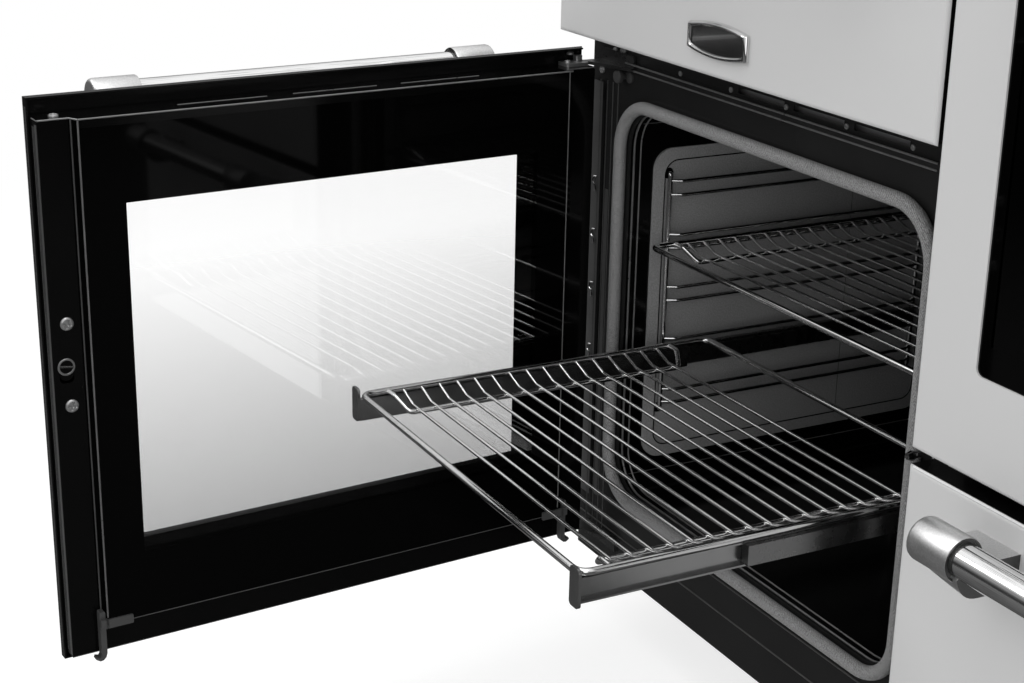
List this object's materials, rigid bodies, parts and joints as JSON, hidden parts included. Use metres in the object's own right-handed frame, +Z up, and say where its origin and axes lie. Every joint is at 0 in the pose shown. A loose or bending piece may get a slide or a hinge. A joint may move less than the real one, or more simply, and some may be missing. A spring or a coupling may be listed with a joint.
{
  "type": "electric range cooker",
  "caption": "Freestanding electric range cooker: hinged main oven with a telescopic wire shelf, side oven, drop-down grill, storage drawer, control panel with knobs and a flat hob.",
  "frame": {"origin": "middle of the body's footprint on the floor", "axes": "+X to the right as seen from the front, +Y from the front to the back, +Z up"},
  "size_m": [1.0457, 1.11, 0.922],
  "materials": {
    "white_enamel": "satin",
    "black_enamel": "gloss",
    "zinc_steel": "matte",
    "liner_enamel": "satin",
    "steel_trim": "brushed",
    "handle_cap": "brushed",
    "handle_bar": "polished",
    "chrome_wire": "polished",
    "door_glass": "clear",
    "black_glass": "gloss",
    "seal_grey": "matte",
    "dark_plastic": "gloss",
    "knob_metal": "brushed",
    "lamp_glass": "frosted",
    "foot_rubber": "matte"
  },
  "bodies": {
    "cooker": {"left_side_panel": "white_enamel", "right_side_panel": "white_enamel", "rear_panel": "zinc_steel", "base_tray": "zinc_steel", "levelling_feet": "foot_rubber", "front_frame": "black_enamel", "hob_frame": "steel_trim", "hob_glass": "black_glass", "hob_heaters": "zinc_steel", "rear_vent": "steel_trim", "control_panel": "white_enamel", "clock_module": "dark_plastic", "main_cavity": "black_enamel", "main_gasket": "seal_grey", "main_liners": "liner_enamel", "main_racks": "chrome_wire", "main_fan_cover": "black_enamel", "main_fan_motor": "zinc_steel", "heating_elements": "zinc_steel", "oven_lamps": "lamp_glass", "runner_outers": "chrome_wire", "door_hinges": "steel_trim", "door_catch": "steel_trim", "right_cavity": "black_enamel", "right_gasket": "seal_grey", "right_racks": "chrome_wire", "right_shelf": "chrome_wire", "grill_cavity": "black_enamel", "grill_pan": "black_enamel", "drawer_rails": "zinc_steel"},
    "main_door": {"main_door_skin": "white_enamel", "main_door_tray": "black_enamel", "main_door_glass": "door_glass", "main_handle_bar": "handle_bar", "main_handle_ends": "handle_cap"},
    "right_door": {"right_door_skin": "white_enamel", "right_door_tray": "black_enamel", "right_door_glass": "door_glass", "right_door_handle": "handle_cap"},
    "grill_door": {"grill_door_skin": "white_enamel", "grill_door_tray": "black_enamel", "grill_door_handle": "handle_cap"},
    "drawer": {"drawer_front": "white_enamel", "drawer_box": "zinc_steel", "drawer_handle_bar": "handle_bar", "drawer_handle_ends": "handle_cap"},
    "sliding_shelf": {"pull_shelf": "chrome_wire", "runner_inners": "chrome_wire"},
    "middle_runners": {"runner_middles": "chrome_wire"},
    "wire_shelf": {"upper_shelf": "chrome_wire"},
    "fan": {"main_fan": "zinc_steel"},
    "button_minus": {"clock_button_minus": "steel_trim"},
    "button_plus": {"clock_button_plus": "steel_trim"},
    "knob_1_body": {"knob_1": "knob_metal"},
    "knob_2_body": {"knob_2": "knob_metal"},
    "knob_3_body": {"knob_3": "knob_metal"},
    "knob_4_body": {"knob_4": "knob_metal"},
    "knob_5_body": {"knob_5": "knob_metal"},
    "knob_6_body": {"knob_6": "knob_metal"},
    "knob_7_body": {"knob_7": "knob_metal"}
  },
  "joints": [
    {"name": "main_door_hinge", "type": "hinge", "parent": "cooker", "child": "main_door", "pos_m": [-0.4829, -0.295, 0.34175], "axis": [0, 0, 1], "range_deg": [-14.4, 1.5]},
    {"name": "right_door_hinge", "type": "hinge", "parent": "cooker", "child": "right_door", "pos_m": [0.4829, -0.295, 0.5855], "axis": [0, 0, 1], "range_deg": [0, 95]},
    {"name": "grill_door_hinge", "type": "hinge", "parent": "cooker", "child": "grill_door", "pos_m": [-0.2315, -0.29, 0.613], "axis": [1, 0, 0], "range_deg": [0, 90]},
    {"name": "drawer_slide", "type": "slide", "parent": "cooker", "child": "drawer", "axis": [0, -1, 0], "range_m": [0, 0.35]},
    {"name": "shelf_slide", "type": "slide", "parent": "cooker", "child": "sliding_shelf", "axis": [0, 1, 0], "range_m": [0, 0.287]},
    {"name": "middle_runner_slide", "type": "slide", "parent": "cooker", "child": "middle_runners", "axis": [0, 1, 0], "range_m": [0, 0.1435]},
    {"name": "upper_shelf_slide", "type": "slide", "parent": "cooker", "child": "wire_shelf", "axis": [0, -1, 0], "range_m": [0, 0.2]},
    {"name": "fan_spin", "type": "hinge", "parent": "cooker", "child": "fan", "pos_m": [-0.2165, 0.15, 0.346], "axis": [0, 1, 0], "continuous": true},
    {"name": "knob_1_turn", "type": "hinge", "parent": "cooker", "child": "knob_1_body", "pos_m": [-0.419, -0.3, 0.838], "axis": [0, -1, 0], "range_deg": [-270, 0]},
    {"name": "knob_2_turn", "type": "hinge", "parent": "cooker", "child": "knob_2_body", "pos_m": [-0.314, -0.3, 0.838], "axis": [0, -1, 0], "range_deg": [-270, 0]},
    {"name": "knob_3_turn", "type": "hinge", "parent": "cooker", "child": "knob_3_body", "pos_m": [-0.209, -0.3, 0.838], "axis": [0, -1, 0], "range_deg": [-270, 0]},
    {"name": "knob_4_turn", "type": "hinge", "parent": "cooker", "child": "knob_4_body", "pos_m": [0.104, -0.3, 0.838], "axis": [0, -1, 0], "range_deg": [-270, 0]},
    {"name": "knob_5_turn", "type": "hinge", "parent": "cooker", "child": "knob_5_body", "pos_m": [0.209, -0.3, 0.838], "axis": [0, -1, 0], "range_deg": [-270, 0]},
    {"name": "knob_6_turn", "type": "hinge", "parent": "cooker", "child": "knob_6_body", "pos_m": [0.314, -0.3, 0.838], "axis": [0, -1, 0], "range_deg": [-270, 0]},
    {"name": "knob_7_turn", "type": "hinge", "parent": "cooker", "child": "knob_7_body", "pos_m": [0.419, -0.3, 0.838], "axis": [0, -1, 0], "range_deg": [-270, 0]},
    {"name": "button_minus_press", "type": "slide", "parent": "cooker", "child": "button_minus", "axis": [0, 1, 0], "range_m": [0, 0.0015], "stiffness_N_per_m": 200},
    {"name": "button_plus_press", "type": "slide", "parent": "cooker", "child": "button_plus", "axis": [0, 1, 0], "range_m": [0, 0.0015], "stiffness_N_per_m": 200}
  ],
  "couplings": [
    {"joint": "middle_runner_slide", "follows": "shelf_slide", "ratio": 0.5}
  ]
}
